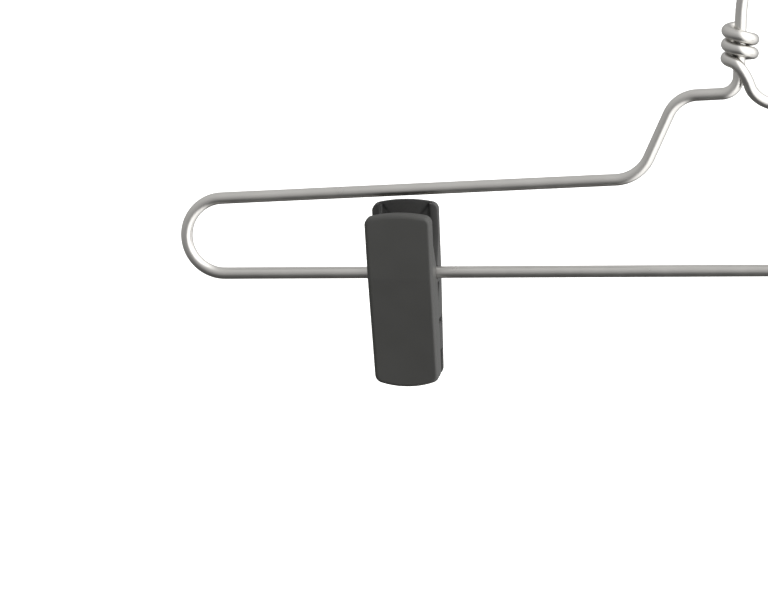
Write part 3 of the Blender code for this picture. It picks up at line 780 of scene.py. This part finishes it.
def natural_nylon(rgb):
    """Moulded nylon 66: milky white, waxy, and lit a little from inside. Its grain is drawn 0.3 mm wide."""
    material, shader = moulded_plastic("natural_nylon", rgb, 0.3 * MM, 0.01 * MM, 0.42, 1.53)
    shader.inputs["Subsurface Weight"].default_value = 0.15
    shader.inputs["Subsurface Radius"].default_value = (0.001, 0.0008, 0.0006)
    return material


def plated_spring_wire(rgb):
    """Hard drawn spring steel with bright zinc plating: a cool, fairly sharp metal shine with lines along the
    wire, 0.15 mm wide and 12 mm long, and a faint cloudiness."""
    material, tree, shader = blank("zinc_plated_spring_wire")
    shader.inputs["Metallic"].default_value = 1.0
    drawn = add(tree, "ShaderNodeAttribute", attribute_name="drawn").outputs["Vector"]
    pitch = (1 / (0.15 * MM), 1 / (0.15 * MM), 1 / (12 * MM))
    lined = add(tree, "ShaderNodeMapping", {"Vector": drawn, "Scale": pitch})
    lines = add(tree, "ShaderNodeTexNoise", {"Vector": lined.outputs[0], "Scale": 1.0, "Detail": 2.0})
    cloud = add(tree, "ShaderNodeTexNoise", {"Vector": drawn, "Scale": 1 / (3 * MM), "Detail": 2.0})
    tone = add(
        tree,
        "ShaderNodeMix",
        {"Factor": cloud.outputs["Fac"], 6: opaque(rgb, 0.88), 7: opaque(rgb, 1.05)},
        data_type="RGBA",
    )
    rough = add(
        tree,
        "ShaderNodeMapRange",
        {"Value": lines.outputs["Fac"], "From Min": 0.3, "From Max": 0.7, "To Min": 0.2, "To Max": 0.32},
    )
    bump = add(
        tree,
        "ShaderNodeBump",
        {"Strength": 0.3, "Distance": 0.01 * MM, "Height": lines.outputs["Fac"]},
    )
    tree.links.new(tone.outputs[2], shader.inputs["Base Color"])
    tree.links.new(rough.outputs[0], shader.inputs["Roughness"])
    tree.links.new(bump.outputs[0], shader.inputs["Normal"])
    return material


def floor_paint(rgb):
    """Matt painted board lit from all round, so that it reads as a clear pale ground, with a faint mottle left
    by the roller."""
    material, tree, shader = blank("matt_floor_paint")
    at = add(tree, "ShaderNodeTexCoord").outputs["Object"]
    mottle = add(tree, "ShaderNodeTexNoise", {"Vector": at, "Scale": 1 / (60 * MM), "Detail": 2.0})
    tone = add(
        tree,
        "ShaderNodeMix",
        {"Factor": mottle.outputs["Fac"], 6: opaque(rgb, 0.99), 7: opaque(rgb, 1.01)},
        data_type="RGBA",
    )
    tree.links.new(tone.outputs[2], shader.inputs["Base Color"])
    shader.inputs["Roughness"].default_value = 0.9
    shader.inputs["Emission Color"].default_value = opaque(rgb)
    shader.inputs["Emission Strength"].default_value = 0.75
    return material


# --- operators -----------------------------------------------------------------------------------


class HANGER_OT_wire(bpy.types.Operator):
    """Bend the wire frame from the hook's tip to the end wound round the neck"""

    bl_idname = "hanger.wire"
    bl_label = "Wire frame"

    def execute(self, context):
        scene = context.scene
        path, side_on = frame_path(scene.hanger_wire, scene.hanger_hook)
        piece = tube("bent_wire", path, scene.hanger_wire.diameter / 2, side_on, WIRE_SIDES, domed=True)
        finish = satin_aluminium(scene.hanger_finish.aluminium)
        dress(piece, "frame", ["wire_frame"], finish)
        return {"FINISHED"}


class HANGER_OT_shells(bpy.types.Operator):
    """Mould the front and rear halves of both clips"""

    bl_idname = "hanger.shells"
    bl_label = "Clip halves"

    def execute(self, context):
        sizes, finish = context.scene.hanger_shell, context.scene.hanger_finish
        bar_radius = context.scene.hanger_wire.diameter / 2 + context.scene.hanger_grip.fit
        halves = (
            ("front", FRONT, sizes.front_height, satin_abs("satin_abs_front", finish.front_plastic)),
            ("rear", REAR, sizes.rear_height, satin_abs("satin_abs_rear", finish.rear_plastic)),
        )
        for label in SIDES:
            for half, side, height, plastic in halves:
                grid = leant(shell_grid(sizes, side, height, bar_radius), label)
                piece = surface(f"{label}_{half}_half", grid)
                dress(piece, f"{label}_{half}", [f"{label}_{half}_shell"], plastic)
        return {"FINISHED"}


class HANGER_OT_pads(bpy.types.Operator):
    """Mould the ribbed rubber pads in both clips' jaws"""

    bl_idname = "hanger.pads"
    bl_label = "Grip pads"

    def execute(self, context):
        shell, grip = context.scene.hanger_shell, context.scene.hanger_grip
        rubber = grip_rubber(context.scene.hanger_finish.rubber)
        for label in SIDES:
            for half, side in (("front", FRONT), ("rear", REAR)):
                piece = surface(f"{label}_{half}_grip", leant(pad_grid(shell, grip, side), label))
                dress(piece, f"{label}_{half}", [f"{label}_{half}_pad"], rubber)
        return {"FINISHED"}


class HANGER_OT_bushes(bpy.types.Operator):
    """Turn the nylon sleeves that the clips' springs sit on"""

    bl_idname = "hanger.bushes"
    bl_label = "Sleeves"

    def execute(self, context):
        scene = context.scene
        nylon = natural_nylon(scene.hanger_finish.nylon)
        for label in SIDES:
            grid = leant(bush_grid(scene.hanger_shell, scene.hanger_grip, scene.hanger_wire), label)
            piece = surface(f"{label}_sleeve", grid, close_rows=True)
            dress(piece, f"{label}_carrier", [f"{label}_bush"], nylon)
        return {"FINISHED"}


class HANGER_OT_springs(bpy.types.Operator):
    """Wind the springs: a coil on each sleeve, with one arm out to the front half's back and one to the rear
    half's
    """

    bl_idname = "hanger.springs"
    bl_label = "Springs"

    def execute(self, context):
        scene = context.scene
        steel = plated_spring_wire(scene.hanger_finish.steel)
        path, half = spring_path(scene.hanger_shell, scene.hanger_grip, scene.hanger_wire)
        radius = scene.hanger_grip.spring_wire / 2
        for label in SIDES:
            piece = tube(f"{label}_coil", leant(path, label), radius, np.array([1.0, 0.0, 0.0]), SPRING_SIDES)
            piece.data.materials.append(steel)
            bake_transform(piece)
            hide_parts(f"{label}_spring")
        return {"FINISHED"}


def world_light(scene):
    """Soft studio light all round: dim from below, mid grey from the front and the left, bright from the right
    and clear behind the object for the camera."""
    world = bpy.data.worlds.new("studio")
    world.use_nodes = True
    scene.world = world
    tree = world.node_tree
    tree.nodes.clear()
    way = add(tree, "ShaderNodeTexCoord").outputs["Generated"]
    x, y, z = add(tree, "ShaderNodeSeparateXYZ", {"Vector": way}).outputs

    def ease(value, low, high, start, stop):
        bounds = {"Value": value, "From Min": low, "From Max": high, "To Min": start, "To Max": stop}
        return add(tree, "ShaderNodeMapRange", bounds, interpolation_type="SMOOTHSTEP").outputs[0]

    lower = ease(z, -0.85, 0.1, 0.10, 0.45)
    upper = ease(z, 0.0, 0.9, 0.0, 0.22)
    right = ease(x, 0.1, 0.36, 0.0, 1.0)
    behind = ease(y, 0.0, 0.9, 1.5, 0.25)
    shade = ease(y, 0.6, 1.0, 1.0, 0.75)
    round_about = add(tree, "ShaderNodeMath", {0: lower, 1: shade}, operation="MULTIPLY").outputs[0]
    base = add(tree, "ShaderNodeMath", {0: round_about, 1: upper}, operation="ADD").outputs[0]
    shine = add(tree, "ShaderNodeMath", {0: right, 1: behind}, operation="MULTIPLY").outputs[0]
    light = add(tree, "ShaderNodeMath", {0: base, 1: shine}, operation="ADD").outputs[0]
    seen = add(tree, "ShaderNodeLightPath").outputs["Is Camera Ray"]
    power = add(tree, "ShaderNodeMix", {"Factor": seen, 2: light, 3: 1.0}, data_type="FLOAT").outputs[0]
    ground = add(tree, "ShaderNodeBackground", {"Color": (1.0, 1.0, 1.0, 1.0), "Strength": power}).outputs[0]
    add(tree, "ShaderNodeOutputWorld", {"Surface": ground})


def soft_box(name, place, aim, size, watts):
    """A square area light turned to a point."""
    data = bpy.data.lights.new(name, "AREA")
    data.shape, data.size, data.energy = "SQUARE", size, watts
    light = bpy.data.objects.new(name, data)
    light.location = place
    light.rotation_euler = (Vector(aim) - Vector(place)).to_track_quat("-Z", "Y").to_euler()
    light.visible_glossy = False
    bpy.context.scene.collection.objects.link(light)


def camera_pose(stage):
    """The camera's place and turn: it looks at the aim from a distance, and is rolled about its own axis."""
    level = math.cos(stage.elevation)
    sin, cos = math.sin(stage.azimuth), math.cos(stage.azimuth)
    back = Vector((sin * level, -cos * level, math.sin(stage.elevation)))
    side = Vector((cos, sin, 0.0))
    turned = Matrix((side, back.cross(side), back)).transposed()
    turned = turned @ Matrix.Rotation(stage.roll, 3, "Z")
    pose = turned.to_4x4()
    pose.translation = Vector(stage.aim) + back * stage.distance
    return pose


class HANGER_OT_stage(bpy.types.Operator):
    """Lay the pale floor, set the soft light and place the camera"""

    bl_idname = "hanger.stage"
    bl_label = "Stage"

    def execute(self, context):
        scene, stage = context.scene, context.scene.hanger_stage
        data = bpy.data.cameras.new("camera")
        data.lens, data.sensor_width, data.clip_start, data.clip_end = stage.lens, 36.0, 0.05, 100.0
        camera = bpy.data.objects.new("camera", data)
        camera.matrix_world = camera_pose(stage)
        scene.collection.objects.link(camera)
        scene.camera = camera
        turn = np.arange(FLOOR_SIDES) * math.tau / FLOOR_SIDES
        out = np.array([0.0, 0.02, 0.1, 0.4, 1.0])[:, None] * stage.floor_radius
        x, y = out * np.cos(turn), out * np.sin(turn)
        floor = surface("floor", np.stack([x, y, np.full(x.shape, bar_height() - stage.floor_drop)], axis=-1))
        floor.data.materials.append(floor_paint(scene.hanger_finish.floor))
        floor.visible_glossy = False
        floor.visible_diffuse = False
        world_light(scene)
        soft_box("overhead", (0.2, -0.3, 1.8), (0.0, 0.0, -0.1), 1.6, 6.0)
        soft_box("right", (1.8, -0.9, 0.5), (0.0, 0.0, -0.1), 1.2, 10.0)
        scene.view_settings.view_transform = "Standard"
        return {"FINISHED"}


class HANGER_PT_sizes(bpy.types.Panel):
    """Sizes, colours and steps of the hanger"""

    bl_idname = "HANGER_PT_sizes"
    bl_label = "Pinch clip hanger"
    bl_space_type = "VIEW_3D"
    bl_region_type = "UI"
    bl_category = "Hanger"

    def draw(self, context):
        for step in STEPS:
            self.layout.operator(step.bl_idname)
        for group, attribute in GROUPS:
            box = self.layout.box()
            settings = getattr(context.scene, attribute)
            for key in group.__annotations__:
                box.prop(settings, key)


GROUPS = (
    (WireSizes, "hanger_wire"),
    (HookSizes, "hanger_hook"),
    (ShellSizes, "hanger_shell"),
    (GripSizes, "hanger_grip"),
    (Finishes, "hanger_finish"),
    (StageSizes, "hanger_stage"),
)
STEPS = (
    HANGER_OT_wire,
    HANGER_OT_shells,
    HANGER_OT_pads,
    HANGER_OT_bushes,
    HANGER_OT_springs,
    HANGER_OT_stage,
)


def register():
    for group, attribute in GROUPS:
        bpy.utils.register_class(group)
        setattr(bpy.types.Scene, attribute, bpy.props.PointerProperty(type=group))
    for shown in (*STEPS, HANGER_PT_sizes):
        bpy.utils.register_class(shown)


def unregister():
    for shown in (HANGER_PT_sizes, *reversed(STEPS)):
        bpy.utils.unregister_class(shown)
    for group, attribute in reversed(GROUPS):
        delattr(bpy.types.Scene, attribute)
        bpy.utils.unregister_class(group)


def corners(bounds):
    """A box's two corners as plain lists of numbers."""
    return [[float(value) for value in corner] for corner in bounds]


def main():
    register()
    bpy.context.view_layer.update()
    for step in STEPS:
        prefix, name = step.bl_idname.split(".")
        getattr(getattr(bpy.ops, prefix), name)()


if __name__ == "__main__":
    main()
